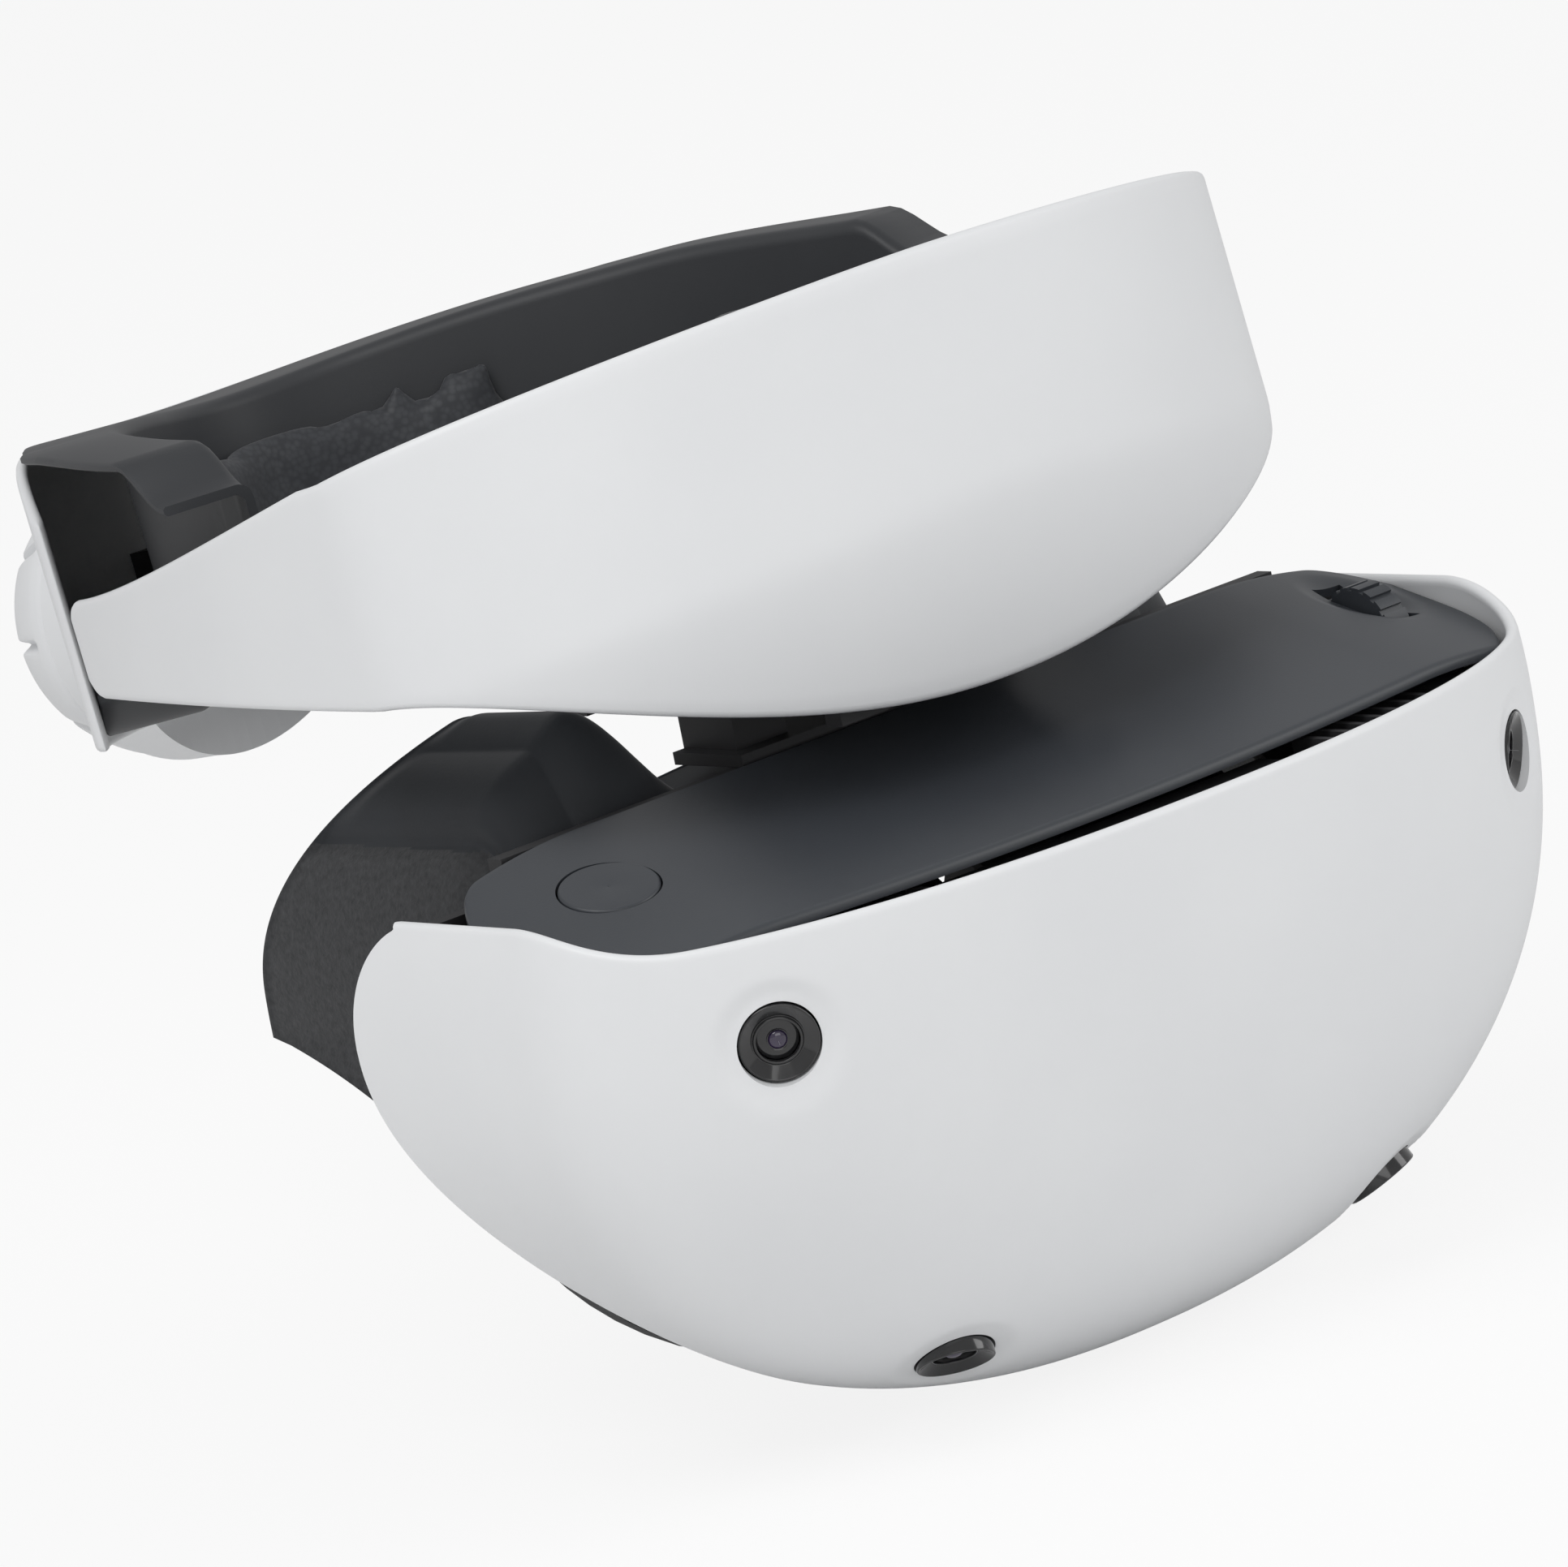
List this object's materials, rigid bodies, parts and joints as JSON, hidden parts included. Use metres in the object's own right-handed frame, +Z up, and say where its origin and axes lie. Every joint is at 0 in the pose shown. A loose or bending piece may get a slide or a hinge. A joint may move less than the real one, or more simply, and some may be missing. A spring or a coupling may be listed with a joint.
{
  "type": "virtual reality headset",
  "caption": "Head-mounted display: halo headband with rear dial cradle, and a bowed visor with lenses and light shield sliding on rods beneath the forehead plate.",
  "frame": {"origin": "midway between the wearer's eyes, on the line between the two lens axes", "axes": "+X to the wearer's left, +Y towards the back of the head, +Z up"},
  "size_m": [0.213, 0.2847, 0.1847],
  "materials": {
    "white_shell": "satin",
    "pale_grey": "satin",
    "dark_panel": "satin",
    "black_plastic": "matte",
    "strap_plastic": "matte",
    "gloss_black": "gloss",
    "pad_skin": "matte",
    "shield_rubber": "matte",
    "steel": "brushed",
    "alloy": "satin",
    "brass": "satin",
    "circuit_board": "satin",
    "display_glass": "gloss",
    "lens_glass": "polished"
  },
  "bodies": {
    "front_band": {"forehead_shell": "white_shell", "band_frame": "black_plastic", "forehead_pad": "pad_skin", "arm_liner_left": "black_plastic", "arm_liner_right": "black_plastic", "strap_left": "strap_plastic", "strap_right": "strap_plastic", "slide_bracket": "black_plastic", "slide_rods": "steel", "bracket_screws": "steel", "rumble_motor": "steel"},
    "rear_band": {"rear_shell": "white_shell", "rear_liner": "black_plastic", "rear_pad": "pad_skin", "gear_case": "black_plastic", "dial_base": "white_shell", "cable_gland": "shield_rubber", "headphone_socket": "steel", "rear_screws": "steel"},
    "dial": {"adjust_dial": "white_shell", "dial_pinion": "brass"},
    "release_key": {"release_button": "pale_grey"},
    "visor": {"front_shell": "white_shell", "top_panel": "dark_panel", "vent_fins": "black_plastic", "vent_deck": "black_plastic", "chassis": "black_plastic", "shield_frame": "black_plastic", "light_shield": "shield_rubber", "slide_carriage": "black_plastic", "main_board": "circuit_board", "heatsink": "alloy", "fan_housing": "black_plastic", "bezel_upper_left": "gloss_black", "bezel_upper_right": "gloss_black", "bezel_lower_left": "gloss_black", "bezel_lower_right": "gloss_black", "camera_upper_left": "black_plastic", "camera_upper_right": "black_plastic", "camera_lower_left": "black_plastic", "camera_lower_right": "black_plastic", "proximity_sensor": "black_plastic", "bottom_cover": "black_plastic", "scope_switch": "black_plastic", "visor_screws": "steel"},
    "lens_unit_left": {"lens_barrel_left": "black_plastic", "lens_left": "lens_glass", "display_left": "display_glass"},
    "lens_unit_right": {"lens_barrel_right": "black_plastic", "lens_right": "lens_glass", "display_right": "display_glass"},
    "ipd_knob": {"ipd_dial": "dark_panel", "ipd_screw": "steel"},
    "scope_key": {"scope_button": "dark_panel"},
    "power_key": {"power_button": "black_plastic"},
    "function_key": {"function_button": "black_plastic"},
    "fan": {"fan_rotor": "black_plastic"}
  },
  "joints": [
    {"name": "band_adjust", "type": "slide", "parent": "front_band", "child": "rear_band", "axis": [0, 0.9905, -0.1374], "range_m": [0, 0.017]},
    {"name": "dial_turn", "type": "hinge", "parent": "rear_band", "child": "dial", "pos_m": [0, 0.1754, 0.05758], "axis": [0, 0.9905, -0.1374], "range_deg": [-1, 123]},
    {"name": "release_press", "type": "slide", "parent": "rear_band", "child": "release_key", "axis": [0, -0.9905, 0.1374], "range_m": [0, 0.002], "stiffness_N_per_m": 800},
    {"name": "scope_slide", "type": "slide", "parent": "front_band", "child": "visor", "axis": [0, 1, 0], "range_m": [-0.018, 0.008]},
    {"name": "lens_left_slide", "type": "slide", "parent": "visor", "child": "lens_unit_left", "axis": [1, 0, 0], "range_m": [-0.0035, 0.0035]},
    {"name": "lens_right_slide", "type": "slide", "parent": "visor", "child": "lens_unit_right", "axis": [1, 0, 0], "range_m": [-0.0036, 0.0036]},
    {"name": "ipd_turn", "type": "hinge", "parent": "visor", "child": "ipd_knob", "pos_m": [0.09, -0.022, 0.03], "axis": [1, 0, 0], "range_deg": [-195, 195]},
    {"name": "scope_press", "type": "slide", "parent": "visor", "child": "scope_key", "axis": [0.106, 0.2588, -0.9601], "range_m": [0, 0.0015], "stiffness_N_per_m": 600},
    {"name": "power_press", "type": "slide", "parent": "visor", "child": "power_key", "axis": [0, 0, 1], "range_m": [0, 0.001], "stiffness_N_per_m": 500},
    {"name": "function_press", "type": "slide", "parent": "visor", "child": "function_key", "axis": [0, 0, 1], "range_m": [0, 0.001], "stiffness_N_per_m": 500},
    {"name": "fan_spin", "type": "hinge", "parent": "visor", "child": "fan", "pos_m": [0, -0.045, -0.006], "axis": [0, 1, 0], "continuous": true}
  ],
  "couplings": [
    {"joint": "dial_turn", "follows": "band_adjust", "rad_per_m": 125},
    {"joint": "lens_right_slide", "follows": "lens_left_slide", "ratio": -1},
    {"joint": "ipd_turn", "follows": "lens_left_slide", "rad_per_m": 966.64}
  ]
}
